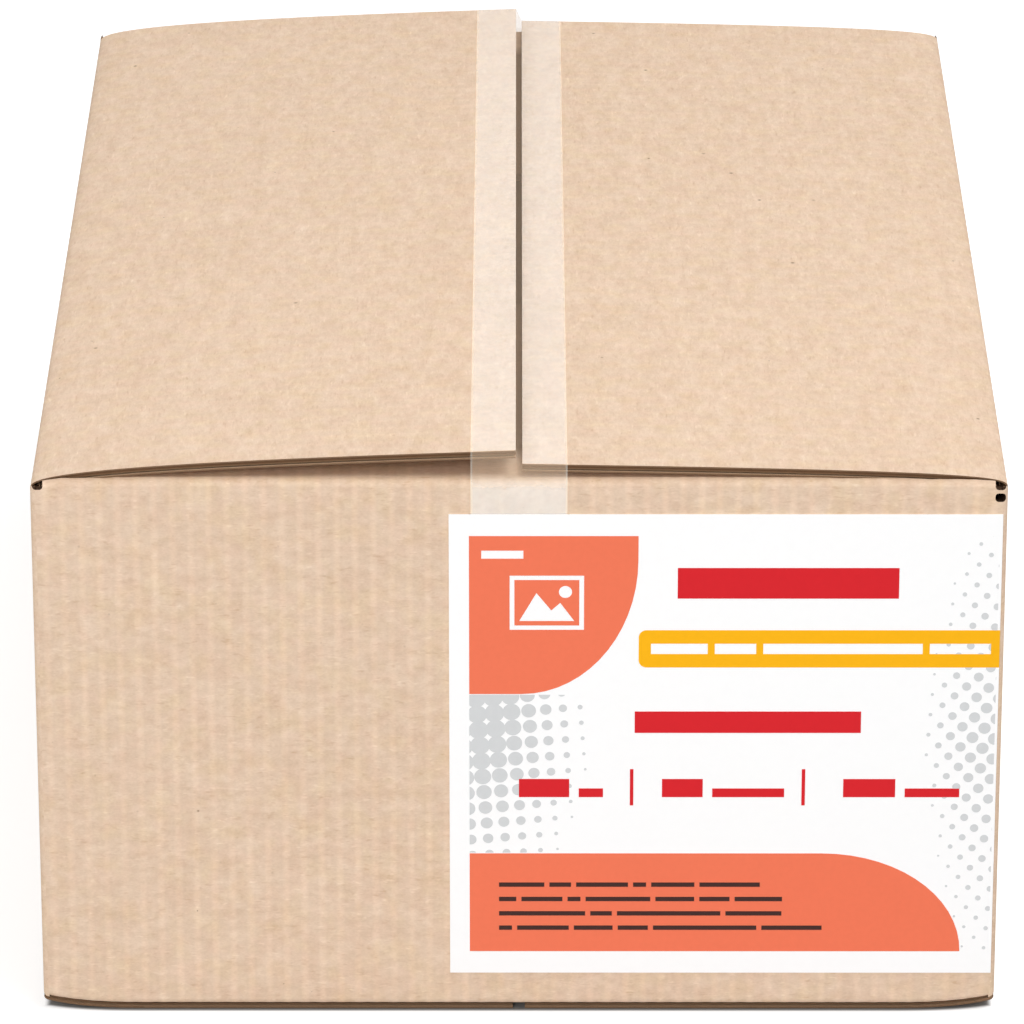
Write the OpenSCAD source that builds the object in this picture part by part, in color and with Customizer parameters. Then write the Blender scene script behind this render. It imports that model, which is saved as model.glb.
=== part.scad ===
// Sealed carton of photo paper: a corrugated box with its top flaps taped
// shut over the packs of paper, and a printed paper label on its front.
// Millimetres, +Z up, front panel towards -Y. Origin: centre of the base.

/* [Paper inside] */
// Short side of the sheets
sheet_w = 210; // [190:1:230]
// Long side of the sheets
sheet_l = 297; // [270:1:320]
// Height of the packed stack
stack_h = 127; // [100:1:160]
// Room beside the stack, on each long side
side_room = 4.1; // [2:0.1:8]
// Room beside the stack, at each short end
end_room = 4.6; // [2:0.1:8]
// Room above the stack
top_room = 1.9; // [0:0.1:5]

/* [Board] */
// Thickness of the corrugated board
board_t = 1.9; // [1.4:0.1:3]
// Thickness of each liner of the board
liner_t = 0.35; // [0.2:0.05:0.5]
// How far the fluted core stands back between the liners at a cut edge
core_recess = 1; // [0.4:0.1:2]
// Outer radius of the folds above and below the front and back panels
fold_r = 1.6; // [1:0.1:2.4]
// Outer radius of the folds along the foot of the side panels
foot_r = 0.8; // [0.4:0.1:1.6]
// Outer radius of the four upright folds
corner_r = 1.2; // [0.8:0.1:2]
// Width of the butt gap where the blank's two ends meet
joint_gap = 0.8; // [0.4:0.1:2]
// Distance of that gap from the side panel
joint_inset = 2.4; // [2:0.1:6]

/* [Top flaps] */
// Gap between the two flaps along the seam
seam_gap = 1.5; // [0.8:0.1:4]
// Rise of the left flap from its hinge to the seam
left_rise = 9.2; // [7:0.1:14]
// Bend of the left flap: low values bend it sharply at the hinge
left_bend = 0.4; // [0.25:0.01:0.6]
// Rise of the right flap from its hinge to the seam
right_rise = 5.9; // [5.5:0.1:14]
// Bend of the right flap
right_bend = 0.28; // [0.2:0.01:0.6]
// How far the flaps' ends stand back from the front and back panels
flap_setback = 2; // [1.2:0.1:4]
// Drop of the flap hinges below the folds of the front and back panels
hinge_drop = 2.6; // [2:0.1:3.4]

/* [Corner openings] */
// Width of the punched openings at the flaps' hinges
slot_w = 2.4; // [1.6:0.1:3]
// Height of the openings
slot_h = 2.1; // [1:0.1:2.4]
// Distance of the openings from the side panels
slot_inset = 0.5; // [0.4:0.1:2]
// Drop of the second opening, in the front right corner only
slot_drop = 2.9; // [2.8:0.1:5]

/* [Bottom flaps] */
// Gap between the bottom flaps along the seam
bottom_gap = 2.8; // [1:0.1:6]
// Height of the bottom flaps' hinges above the floor
bottom_lift = 2.4; // [1:0.1:4]
// Length over which the bottom flaps come down to the floor
bottom_run = 26; // [12:1:50]

/* [Closing tape] */
// Width of the tape
tape_w = 22; // [15:0.5:50]
// Thickness of the tape
tape_t = 0.12; // [0.06:0.01:0.2]
// Length of tape down the front panel and down the back panel
tape_tail = 46; // [20:1:70]

/* [Label] */
// Width of the label
label_w = 126; // [115:1:150]
// Height of the label
label_h = 116; // [114:1:120]
// Thickness of the label
label_t = 0.3; // [0.26:0.01:0.5]
// Height of the label's lower edge above the floor
label_base = 10.4; // [7:0.1:14]
// Distance of the label's right edge from the side panel
label_inset = 1; // [1:0.1:20]

/* [Print on the label] */
// Thickness of one layer of print
ink_t = 0.05; // [0.03:0.01:0.1]
// White margin to the left of and below the coloured fields
margin = 4.6; // [2:0.1:8]
// White margin above the coloured fields
top_margin = 5.3; // [2:0.1:8]
// Width of the orange block
block_w = 38.6; // [30:0.1:42]
// Height of the orange block
block_h = 39.4; // [36:0.1:40]
// Width of the large round corner of the block
block_round_w = 26.6; // [8:0.1:28]
// Height of the large round corner of the block
block_round_h = 33.4; // [8:0.1:34]
// Height of the orange band
band_h = 25.2; // [20:0.1:28]
// Distance of the end of the band from the label's right edge
band_stop = 7.4; // [2:0.1:12]
// Width of the round end of the band
band_round = 32.4; // [10:0.1:40]
// Height of the yellow bar
bar_h = 9.3; // [7:0.1:11]
// Height of the yellow bar's lower edge above the label's lower edge
bar_base = 78; // [76:0.1:80]
// Radius of the yellow bar's two left corners
bar_r = 1.8; // [0.5:0.1:3]
// Unit of the plain bars that stand for words: all their sizes follow it
word_unit = 1; // [0.8:0.01:1.04]
// Height above the label's lower edge of the row of three entries
entry_h = 47.5; // [44:0.1:52]
// Spacing of the left dots
left_pitch = 3.95; // [3.5:0.05:5]
// Spacing of the right dots
right_pitch = 3.6; // [3.3:0.05:5]
// Radius of the largest left dots
dot_r = 2.25; // [1:0.05:2.4]
// Distance from the block's lower left corner at which the left dots vanish
left_reach = 31.6; // [20:0.1:36]
// Radius of the largest right dots
right_dot_r = 1.5; // [0.8:0.05:1.7]
// Height of the largest right dots above the label's lower edge
right_dots_h = 60; // [40:1:80]
// Distance from the label's right edge at which the right dots vanish
right_reach = 18.7; // [10:0.1:24]
// Distance above and below the largest at which the right dots vanish
right_spread = 75; // [50:1:90]

/* [Hidden] */
$fn = 48;

kraft = "#e3c7ab";
tape_film = "#f0dfcb";
label_white = "#fbfbfa";
orange_ink = "#f37a59";
yellow_ink = "#fdb813";
red_ink = "#d9242c";
dark_ink = "#402a26";
grey_ink = "#d5d7d8";

// Outer size of the carton
carton_w = sheet_w + 2 * (side_room + board_t);
carton_l = sheet_l + 2 * (end_room + board_t);
// Height of the front and back panels' folds and of the side panels' hinges
fold_h = stack_h + top_room + 3 * board_t;
hinge_h = fold_h - hinge_drop;
// Top flaps: size, and the number of straight steps that draw their bend
flap_len = (carton_w - seam_gap) / 2;
flap_l = carton_l - 2 * flap_setback;
flap_steps = 14;
// Depth of the end panels' shoulders under the flaps' outer face, which is
// reached at the inner side of the corner openings
shoulder = 1.2;
// Length of board drawn below a hinge, inside the side panel
hinge_root = 4 * board_t;
// Bottom flaps: their length, the steps of their curve, and how far they
// reach up into the body above them
bottom_len = (carton_w - bottom_gap) / 2;
bottom_steps = 10;
bite = 0.3;
// Adhesive under tape and label
glue_t = 0.02;
// White gap between the left dots and the fields, and the smallest dot drawn
dot_gap = 0.2;
least_dot = 0.25;
// Margin by which a cut runs past the face that it cuts
past = 1;

// Flap profiles

// Distance of step i from the hinge: the steps are short near the hinge
function station(i) = flap_len * pow(i / flap_steps, 2.2);

// Height of a flap's outer face at distance s from its hinge
function flap_h(s, rise, bend) = hinge_h + rise * pow(s / flap_len, bend);

// The outer face, lowered by drop, from step first to the seam
function flap_line(rise, bend, drop, first) =
    [for (i = [first : flap_steps])
        [station(i), flap_h(station(i), rise, bend) - drop]];

// First step that lies clear of the folded board's own thickness
function clear_step() =
    [for (i = [0 : flap_steps]) if (station(i) > board_t) i][0];

function reversed(line) = [for (i = [len(line) - 1 : -1 : 0]) line[i]];

function flap_outline(rise, bend) = concat(
    flap_line(rise, bend, 0, 0),
    reversed(flap_line(rise, bend, board_t, clear_step())),
    [[board_t, hinge_h - board_t],
     [board_t, hinge_h - hinge_root],
     [0, hinge_h - hinge_root]]);

// The core's space between the two liners, open at the seam
function groove_outline(line, upper, lower) = concat(
    [for (p = line) p - [0, upper]],
    [[line[len(line) - 1][0] + past, line[len(line) - 1][1] - upper],
     [line[len(line) - 1][0] + past, line[len(line) - 1][1] - lower]],
    reversed([for (p = line) p - [0, lower]]));

// Height of a bottom flap's lower face at distance s from the side panel
function floor_h(s) =
    bottom_lift * pow(1 - min(s / bottom_run, 1), 3)
    + (s < foot_r ? foot_r - sqrt(pow(foot_r, 2) - pow(foot_r - s, 2)) : 0);

function bottom_station(i) = bottom_run * pow(i / bottom_steps, 2);

// The lower face of a bottom flap, raised by lift, out to distance reach
function bottom_line(lift, reach) = concat(
    [for (i = [0 : bottom_steps])
        [bottom_station(i), floor_h(bottom_station(i)) + lift]],
    [[reach, lift]]);

// One side of the body seen from the front, up to the fold of the panels
function shoulder_line(rise, bend) =
    let (meet = flap_len * pow((hinge_drop + shoulder) / rise, 1 / bend))
    concat(
        [for (i = [0 : flap_steps]) if (station(i) < meet)
            [station(i), flap_h(station(i), rise, bend)
                - shoulder * min(1, station(i) / (slot_inset + slot_w))]],
        [[meet, fold_h]]);

function from_left(line) = [for (p = line) [p[0] - carton_w / 2, p[1]]];
function from_right(line) = [for (p = line) [carton_w / 2 - p[0], p[1]]];

// Carton

module rounded_rect(w, h, r) {
    square([w - 2 * r, h], center = true);
    square([w, h - 2 * r], center = true);
    for (x = [-1, 1], y = [-1, 1])
        translate([x * (w / 2 - r), y * (h / 2 - r)])
            circle(r);
}

// Draws a front-view outline along Y, centred on the carton
module along_carton(length) {
    rotate([90, 0, 0])
        linear_extrude(length, center = true)
            children();
}

// Body: the four panels round the packed stack, with the short flaps folded
// in above and below. It is the common part of its plan, side and front views.
module body() {
    body_h = fold_h - board_t;
    difference() {
        intersection() {
            linear_extrude(fold_h + past)
                rounded_rect(carton_w, carton_l, corner_r);
            translate([0, 0, board_t + body_h / 2])
                rotate([90, 0, 90])
                    linear_extrude(carton_w + 2 * past, center = true)
                        rounded_rect(carton_l, body_h, fold_r);
            along_carton(carton_l + 2 * past)
                polygon(concat(
                    from_left(shoulder_line(left_rise, left_bend)),
                    reversed(from_right(shoulder_line(right_rise, right_bend))),
                    from_right(bottom_line(board_t, carton_w / 2)),
                    reversed(from_left(bottom_line(board_t, carton_w / 2)))));
        }
        // Butt gap of the blank's two ends, at the back right corner
        translate([carton_w / 2 - joint_inset - joint_gap,
                   carton_l / 2 - board_t / 2, -past])
            cube([joint_gap, board_t, fold_h + 2 * past]);
    }
}

// The fluted core standing back at both ends of a flap
module end_grooves(outline) {
    for (y = [-1, 1])
        translate([0, y * (flap_l / 2 + past / 2), 0])
            along_carton(2 * core_recess + past)
                polygon(outline);
}

module top_flap(rise, bend) {
    line = flap_line(rise, bend, 0, clear_step());
    difference() {
        along_carton(flap_l)
            polygon(from_left(flap_outline(rise, bend)));
        end_grooves(from_left(groove_outline(line, liner_t, board_t - liner_t)));
    }
}

module bottom_flap() {
    difference() {
        along_carton(flap_l)
            polygon(from_left(concat(
                bottom_line(0, bottom_len),
                reversed(bottom_line(board_t + bite, bottom_len)))));
        end_grooves(from_left(groove_outline(
            bottom_line(board_t, bottom_len), liner_t, board_t - liner_t)));
    }
}

// An opening with round ends, cut in from the front at height z
module corner_opening(x, z) {
    depth = flap_setback + board_t;
    translate([x, depth / 2 - past / 2 - carton_l / 2, z])
        along_carton(depth + past)
            rounded_rect(slot_w, slot_h, min(slot_w, slot_h) * 0.4);
}

module sealed_carton() {
    slot_x = carton_w / 2 - slot_inset - slot_w / 2;
    slot_z = hinge_h + slot_h / 2;
    color(kraft)
        difference() {
            union() {
                body();
                top_flap(left_rise, left_bend);
                mirror([1, 0, 0])
                    top_flap(right_rise, right_bend);
                bottom_flap();
                mirror([1, 0, 0])
                    bottom_flap();
            }
            for (x = [-1, 1], y = [0, 1])
                mirror([0, y, 0])
                    corner_opening(x * slot_x, slot_z);
            corner_opening(slot_x, slot_z - slot_drop);
        }
}

// Closing tape

// Heights of both flaps' outer faces, as points across the carton
function skyline() = concat(
    from_left(flap_line(left_rise, left_bend, 0, 0)),
    reversed(from_right(flap_line(right_rise, right_bend, 0, 0))));

// Positions across the tape: its edges and every bend of the flaps between
function tape_stations() = concat(
    [-tape_w / 2],
    [for (p = skyline()) if (abs(p[0]) < tape_w / 2 - 0.01) p[0]],
    [tape_w / 2]);

// Side view of the tape at one position, as points [y, z] at distance d from
// the board: up the front panel, over the fold, along the flap and down again
function tape_path(x, d) =
    let (face = carton_l / 2 + d,
         edge = flap_l / 2 + d,
         tail_h = fold_h - tape_tail,
         bend_h = fold_h - fold_r / 2 + d / 2,
         top = lookup(x, skyline()) + d)
    [[-face, tail_h], [-face, bend_h], [-edge, top],
     [edge, top], [face, bend_h], [face, tail_h]];

function tape_ring(x) = [for (p = concat(tape_path(x, glue_t),
    reversed(tape_path(x, glue_t + tape_t)))) [x, p[0], p[1]]];

module closing_tape() {
    stations = tape_stations();
    rings = [for (x = stations) tape_ring(x)];
    n = len(rings[0]);
    half = n / 2;
    last = (len(rings) - 1) * n;
    color(tape_film)
        polyhedron(
            points = [for (ring = rings) each ring],
            faces = concat(
                [for (r = [0 : len(rings) - 2], i = [0 : n - 1])
                    [r * n + i, (r + 1) * n + i, (r + 1) * n + (i + 1) % n]],
                [for (r = [0 : len(rings) - 2], i = [0 : n - 1])
                    [r * n + i, (r + 1) * n + (i + 1) % n, r * n + (i + 1) % n]],
                [for (i = [0 : half - 2])
                    [i, i + 1, n - 2 - i, n - 1 - i]],
                [for (i = [0 : half - 2])
                    [last + n - 1 - i, last + n - 2 - i, last + i + 1, last + i]]));
}

// Label

label_x = carton_w / 2 - label_inset - label_w;
label_face = carton_l / 2 + glue_t + label_t;

module label_sheet() {
    pocket_w = tape_w + 1;
    pocket_t = 2 * glue_t + tape_t;
    pocket_base = fold_h - tape_tail - 0.5;
    color(label_white)
        difference() {
            translate([label_x, -label_face, label_base])
                cube([label_w, label_t, label_h]);
            // Space for the end of the tape, which runs on under the label
            translate([-pocket_w / 2, glue_t - carton_l / 2 - pocket_t, pocket_base])
                cube([pocket_w, pocket_t, label_base + label_h - pocket_base + past]);
        }
}

// Lays a drawing on the label's face, in the first or second layer of ink
module printed(layer) {
    translate([label_x, -label_face - (layer - 1) * ink_t, label_base])
        rotate([90, 0, 0])
            linear_extrude(ink_t)
                children();
}

// Points of a quarter of an ellipse round a centre, from angle start
function quarter(centre, w, h, start) =
    [for (i = [0 : 15])
        let (a = start + 6 * i)
        centre + [w * cos(a), h * sin(a)]];

// A row of plain bars in place of words, starting at a point. Their lengths,
// height and spacing are given in word units.
module bars(start, lengths, h, space) {
    starts = [for (i = 0, x = 0; i < len(lengths);
        x = x + lengths[i] + space, i = i + 1) x];
    translate(start)
        for (i = [0 : len(lengths) - 1])
            translate(word_unit * [starts[i], -h / 2])
                square(word_unit * [lengths[i], h]);
}

block_right = margin + block_w;
block_top = label_h - top_margin;
block_base = block_top - block_h;
band_right = label_w - band_stop;
band_top = margin + 1 + band_h;
band_base = margin + 1;

// Plain sign of a picture: a frame, a sun and two hills
module picture_sign(w, h, line) {
    difference() {
        square([w, h], center = true);
        square([w - 2 * line, h - 2 * line], center = true);
    }
    translate([w / 4, h / 5])
        circle(h / 9);
    translate([-w / 2, -h / 2])
        polygon([[2 * line, 2 * line], [w * 0.36, h * 0.68], [w * 0.56, h * 0.36],
                 [w * 0.68, h * 0.5], [w - 2 * line, 2 * line]]);
}

module orange_block() {
    difference() {
        polygon(concat(
            [[margin, block_top], [margin, block_base]],
            quarter([block_right - block_round_w, block_base + block_round_h],
                block_round_w, block_round_h, -90),
            [[block_right, block_top]]));
        translate([margin + block_w * 0.46, block_top - block_h * 0.42])
            picture_sign(17 * word_unit, 13.5 * word_unit, 1.1 * word_unit);
        bars([margin, block_top] + word_unit * [2.8, -4.6], [9.6], 2, 1);
    }
}

module orange_band() {
    polygon(concat(
        [[margin, band_base]],
        quarter([band_right - band_round, band_base], band_round, band_h, 0),
        [[margin, band_top]]));
}

module orange_print() {
    color(orange_ink)
        printed(1) {
            orange_block();
            orange_band();
        }
}

module yellow_bar() {
    start = block_right + 0.2;
    translate([start + bar_r, bar_base])
        square([label_w - start - bar_r, bar_h]);
    translate([start, bar_base + bar_r])
        square([bar_r, bar_h - 2 * bar_r]);
    for (y = [bar_r, bar_h - bar_r])
        translate([start + bar_r, bar_base + y])
            circle(bar_r);
}

module yellow_print() {
    color(yellow_ink)
        printed(1)
            difference() {
                yellow_bar();
                bars([block_right + 3 * word_unit, bar_base + bar_h / 2],
                    [13, 9.5, 36.5, 14], 2.6, 1.6);
            }
}

// One entry: a large bar and a small bar on the same foot line
module entry(start, large, small) {
    bars(start, [large], 4.6, 1);
    bars(start + word_unit * [large + 2.2, -1.2], [small], 2.2, 1);
}

// Everything in red: a headline bar, a title, three entries and two rules
module red_drawing() {
    rule_x = [for (x = [-1.6, 38]) block_right + x * word_unit];
    bars([block_right + 9 * word_unit, (bar_base + bar_h + block_top) / 2], [50.5], 7.6, 1);
    bars([block_right, bar_base] + word_unit * [-0.6, -13.8], [52], 5.4, 1);
    entry([margin + 11.4 * word_unit, entry_h], 11.6, 5.6);
    entry([rule_x[0] + 7.4 * word_unit, entry_h], 9.4, 16.6);
    entry([rule_x[1] + 9.6 * word_unit, entry_h], 12, 12.6);
    for (x = rule_x)
        translate([x, entry_h - 4.4 * word_unit])
            square(word_unit * [0.8, 9.2]);
}

module red_print() {
    color(red_ink)
        printed(1)
            red_drawing();
}

module dark_print() {
    rows = [[10.5, 5, 12, 3, 10, 14], [4, 9.5, 3, 15, 9, 7, 11],
            [20, 5, 24, 13], [3, 12, 9, 7, 24, 14]];
    color(dark_ink)
        printed(2)
            for (i = [0 : len(rows) - 1])
                bars([margin, band_top] + word_unit * [6.8, -8 - 3.7 * i],
                    rows[i], 1.1, 1.2);
}

// Grey dots on a turned square lattice. The function passed as size gives
// each dot's radius from its place; dots under least_dot are left out.
module dot_lattice(centre, pitch, turn, reach, size) {
    for (i = [-reach : reach], j = [-reach : reach]) {
        at = centre + pitch * [i * cos(turn) - j * sin(turn),
                               i * sin(turn) + j * cos(turn)];
        r = size(at);
        if (r > least_dot)
            translate(at)
                circle(r, $fn = r > 0.8 ? 12 : 8);
    }
}

module dot_window(x, y, w, h) {
    intersection() {
        translate([x, y])
            square([w, h]);
        children();
    }
}

module grey_dots() {
    // The left dots shrink away from the block's lower left corner, and are
    // all of one size near it
    left_mid = [margin, block_base];
    left_size = function (p)
        min(dot_r, dot_r * 4 / 3
            * (1 - norm([p[0] - left_mid[0], (p[1] - left_mid[1]) / 2]) / left_reach));
    // The right dots shrink away from a point on the label's right edge
    right_mid = [label_w - right_dot_r * 0.4, right_dots_h];
    right_size = function (p)
        right_dot_r * (1 - abs(p[1] - right_mid[1]) / right_spread
            - pow((right_mid[0] - p[0]) / right_reach, 2));
    color(grey_ink)
        printed(1)
            difference() {
                union() {
                    dot_window(margin, band_top + dot_gap,
                               left_reach, block_base - band_top - 2 * dot_gap)
                        dot_lattice(left_mid + [1.5, -1.2], left_pitch, 4.5, 11, left_size);
                    dot_window(right_mid[0] - right_reach, band_base,
                               right_reach, block_top - band_base)
                        dot_lattice(right_mid, right_pitch, 41, 15, right_size);
                }
                yellow_bar();
                orange_band();
                red_drawing();
            }
}

sealed_carton();
closing_tape();
label_sheet();
orange_print();
yellow_print();
red_print();
dark_print();
grey_dots();
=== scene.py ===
from math import cos, pi, radians, sin

import bmesh
import bpy
import numpy as np
from bpy.props import FloatProperty, FloatVectorProperty, PointerProperty
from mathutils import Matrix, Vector


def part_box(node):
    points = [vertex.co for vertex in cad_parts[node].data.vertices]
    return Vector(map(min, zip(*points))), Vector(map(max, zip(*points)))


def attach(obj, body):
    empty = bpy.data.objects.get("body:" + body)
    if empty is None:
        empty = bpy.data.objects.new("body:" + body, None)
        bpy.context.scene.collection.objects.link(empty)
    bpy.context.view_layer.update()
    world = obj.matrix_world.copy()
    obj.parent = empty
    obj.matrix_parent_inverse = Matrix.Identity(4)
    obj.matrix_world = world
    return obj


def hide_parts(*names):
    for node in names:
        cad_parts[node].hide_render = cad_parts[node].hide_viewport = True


bl_info = {
    "name": "Sealed Paper Carton",
    "version": (1, 0, 0),
    "blender": (4, 5, 0),
    "location": "3D View > Sidebar > Carton",
    "description": "Corrugated carton with taped top flaps and a printed label",
    "category": "Add Mesh",
}

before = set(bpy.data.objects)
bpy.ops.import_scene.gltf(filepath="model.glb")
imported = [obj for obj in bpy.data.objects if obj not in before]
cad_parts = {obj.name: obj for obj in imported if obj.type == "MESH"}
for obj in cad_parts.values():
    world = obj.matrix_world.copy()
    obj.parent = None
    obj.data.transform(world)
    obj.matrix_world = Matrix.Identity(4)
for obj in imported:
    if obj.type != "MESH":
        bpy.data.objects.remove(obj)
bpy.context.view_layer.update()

MM = 0.001
BODY = "root"

# Outer half width and half length of the carton, half the tape's width, the
# height of its two ends, and the label's corners
HALF_W, HALF_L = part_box("sealed_carton")[1][:2]
TAPE_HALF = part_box("closing_tape")[1][0]
TAPE_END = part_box("closing_tape")[0][2]
LABEL_LOW, LABEL_HIGH = (np.array(corner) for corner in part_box("label_sheet"))

# Inner radius of the board's folds
INNER_R = 0.3 * MM
# Heights at the top and foot of an end panel that give way near the sides
GIVING = 7 * MM
# Part of a short flap next to its fold that has close steps
CLOSE = 12 * MM
# Room between the short flaps and the long ones above them
FLAP_ROOM = 0.05 * MM
# Least width of the straight strips beside the upright folds
LEAST_STRIP = 0.2 * MM
# Length of the tape's first step on the flaps, behind their edge
TAPE_STEP = 0.2 * MM
# Gap between the dots and the orange fields
DOT_GAP = 0.2 * MM
# Strength of the world's light on the carton; as a background it is 1
WORLD_LIGHT = 0.45
# Strength with which the floor glows where it is seen as a background
FLOOR_GLOW = 0.65
# Half the floor's width
FLOOR_REACH = 8.0
# Shade of the floor under the carton
UNDER_SHADE = 0.45
# Middle of the carton, at which the lamps point
MIDDLE = Vector((0, 0, 0.07))


# Settings

def linear(red, green, blue):
    """A colour given as 8-bit values of the screen, as linear light."""
    share = np.array([red, green, blue]) / 255
    return tuple(np.where(share <= 0.04045, share / 12.92, ((share + 0.055) / 1.055) ** 2.4))


def length(name, description, millimetres):
    """A length of the object, set in millimetres and kept in metres."""
    return FloatProperty(name=name, description=description, default=millimetres * MM,
                         unit="LENGTH", precision=5)


def number(name, description, value):
    """A plain number: an angle, a share, a power or a focal length."""
    return FloatProperty(name=name, description=description, default=value)


def colour(name, description, *screen_values):
    """A colour, given as 8-bit values of the screen."""
    return FloatVectorProperty(name=name, description=description, subtype="COLOR",
                               default=linear(*screen_values), min=0, max=1)


class CartonBoard(bpy.types.PropertyGroup):
    thickness: length("Board", "Thickness of the corrugated board", 1.9)
    liner: length("Liner", "Thickness of each liner of the board", 0.35)
    medium: length("Fluted paper", "Thickness of the fluted paper between the liners", 0.22)
    pitch: length("Flute pitch", "Distance from one flute to the next", 4.15)
    washboard: length("Washboard", "Depth to which the flutes show through the liner", 0.03)
    recess: length("Core recess", "How far the fluted paper stands back at a cut edge", 0.3)
    upright_r: length("Upright folds", "Outer radius of the four upright folds", 1.2)
    fold_r: length("Panel folds", "Outer radius of the folds of the end panels", 1.6)
    foot_r: length("Foot folds", "Outer radius of the folds at the foot of the side panels", 0.8)
    fold_h: length("Fold height", "Height of the end panels' top folds", 134.6)
    hinge_h: length("Hinge height", "Height of the side panels' top folds", 132)
    setback: length("Flap setback", "How far the flaps' ends stand back from the end panels", 2)
    shoulder: length("Shoulder", "How far the panels' shoulders lie under the flaps", 1.2)
    shoulder_run: length("Shoulder run", "Length over which the shoulders fall away", 18)
    joint_gap: length("Joint gap", "Width of the butt gap where the blank's ends meet", 0.8)
    joint_inset: length("Joint inset", "Distance of that gap from the side panel", 2.4)


class CartonFlaps(bpy.types.PropertyGroup):
    seam_gap: length("Seam gap", "Gap between the two top flaps", 1.5)
    left_rise: length("Left rise", "Rise of the left flap from its hinge to the seam", 9.2)
    left_bend: number("Left bend", "Bend of the left flap", 0.4)
    right_rise: length("Right rise", "Rise of the right flap from its hinge to the seam", 5.9)
    right_bend: number("Right bend", "Bend of the right flap", 0.28)
    bottom_gap: length("Bottom gap", "Gap between the two bottom flaps", 2.8)
    bottom_lift: length("Bottom lift", "Height of the bottom flaps' hinges above the floor", 2.4)
    bottom_run: length("Bottom run", "Length over which a bottom flap comes down", 26)
    slot_w: length("Opening width", "Width of the punched corner openings", 2.4)
    slot_h: length("Opening height", "Height of the punched corner openings", 2.1)
    slot_inset: length("Opening inset", "Distance of the openings from the side panels", 0.5)
    slot_drop: length("Second opening", "Drop of the second opening, front right", 2.9)
    slot_lift: length("Opening lift", "Height of the upper openings above the hinges", 0.3)
    slot_depth: length("Opening depth", "Depth of the openings behind the end panels", 7)


class CartonTape(bpy.types.PropertyGroup):
    glue: length("Adhesive", "Adhesive under the film", 0.02)
    film: length("Film", "Thickness of the film", 0.12)
    # Painted highlight: width of the bright line along each edge of the film
    edge: length("Bright edge", "Width of the bright line along each edge of the film", 0.4)
    settle: length("Settling", "Height over which the film comes to lie on the panel", 4)
    panel_veil: number("Panel veil", "Cover of each face of the film on the panels", 0.285)
    flap_veil: number("Flap veil", "Cover of each face of the film on the flaps", 0.2)
    loose_veil: number("Loose veil", "Cover of each face of the film where it hangs free", 0.11)
    seam_veil: number("Seam veil", "Cover of each face of the film over the seam", 0.1)


class CartonPaper(bpy.types.PropertyGroup):
    width: length("Width", "Short side of the packed sheets", 210)
    length: length("Length", "Long side of the packed sheets", 297)
    top: length("Top", "Height of the uppermost pack's top", 130.5)
    corner_r: length("Corners", "Radius of the upright corners of the wrapped packs", 2)


class CartonLabel(bpy.types.PropertyGroup):
    margin: length("Margin", "White margin to the left of the print", 4.6)
    block_base: length("Block", "Height of the orange block above the label's edge", 71.3)
    block_top: length("Block top", "Height of the coloured fields' upper edge", 110.7)
    band_base: length("Band", "Height of the orange band's lower edge", 5.6)
    band_top: length("Band top", "Height of the orange band's upper edge", 30.8)
    left_pitch: length("Left dots", "Spacing of the left dots", 3.95)
    left_turn: number("Left turn", "Turn of the left dots' lattice, in degrees", 4.5)
    left_dot: length("Largest left dot", "Radius of the largest left dots", 2.25)
    left_reach: length("Left reach", "Distance at which the left dots vanish", 31.6)
    right_pitch: length("Right dots", "Spacing of the right dots", 3.6)
    right_turn: number("Right turn", "Turn of the right dots' lattice, in degrees", 41)
    right_dot: length("Largest right dot", "Radius of the largest right dots", 1.5)
    right_h: length("Right height", "Height at which the right dots are largest", 60)
    right_reach: length("Right reach", "Distance at which the right dots vanish", 18.7)
    right_spread: length("Right spread", "Height over which the right dots vanish", 75)
    least_dot: length("Smallest dot", "Radius of the smallest dots", 0.25)
    dot_ink: length("Dot ink", "Thickness of the grey ink", 0.04)


class CartonColours(bpy.types.PropertyGroup):
    liner: colour("Kraft", "Outer liner of the board", 231, 204, 179)
    inner: colour("Inner kraft", "Inner liner of the board", 205, 172, 140)
    medium: colour("Fluted paper", "Fluted paper between the liners", 128, 98, 72)
    # Painted shade: the cut edges are a dark brown, darker than the kraft's own tone, for the
    # shade under the flaps' edges
    edge: colour("Cut edge", "Cut edges of the liners", 128, 100, 76)
    # Painted shade: tone of the short flaps deep under the long flaps, where they lie in shadow
    under_flap_shade: colour("Sheltered kraft", "Short flaps, deep under the long ones", 136, 105, 80)
    # Painted shade: a near-black brown on the openings' walls, for the dark inside the holes
    opening: colour("Opening", "Walls of the punched corner openings", 66, 46, 32)
    film: colour("Tape", "Milky film of the tape where it sticks", 246, 252, 253)
    loose_film: colour("Loose tape", "Film where it bridges a gap", 249, 222, 192)
    # Painted highlight: colour of the bright line along the film's edges
    film_edge_highlight: colour("Tape edge", "Bright line along the edges of the film", 255, 252, 240)
    wrap: colour("Wrapper", "Wrapper of the packs inside", 130, 100, 76)
    paper: colour("Label", "Coated paper of the label", 255, 255, 255)
    orange: colour("Orange", "Orange ink", 243, 122, 89)
    yellow: colour("Yellow", "Yellow ink", 253, 184, 19)
    red: colour("Red", "Red ink", 217, 36, 44)
    dark: colour("Dark", "Dark ink", 64, 42, 38)
    grey: colour("Grey", "Grey ink of the dots", 213, 215, 216)
    floor: colour("Floor", "Floor of the stage", 205, 205, 205)


class CartonStage(bpy.types.PropertyGroup):
    aim_x: length("Aim X", "Sideways place of the point that the camera looks at", -1.7)
    aim_z: length("Aim Z", "Height of the point that the camera looks at", 61.3)
    distance: length("Distance", "Distance of the camera from that point", 1842)
    elevation: number("Elevation", "Angle of the camera above the floor, in degrees", 22.94)
    turn: number("Turn", "Angle of the camera round the carton, in degrees", 0.04)
    lens: number("Lens", "Focal length for a sensor 36 mm wide", 259.1)


def settings(name):
    """One of the property groups that hold the carton's sizes and colours."""
    return getattr(bpy.context.scene, "carton_" + name)


# Meshes

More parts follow.
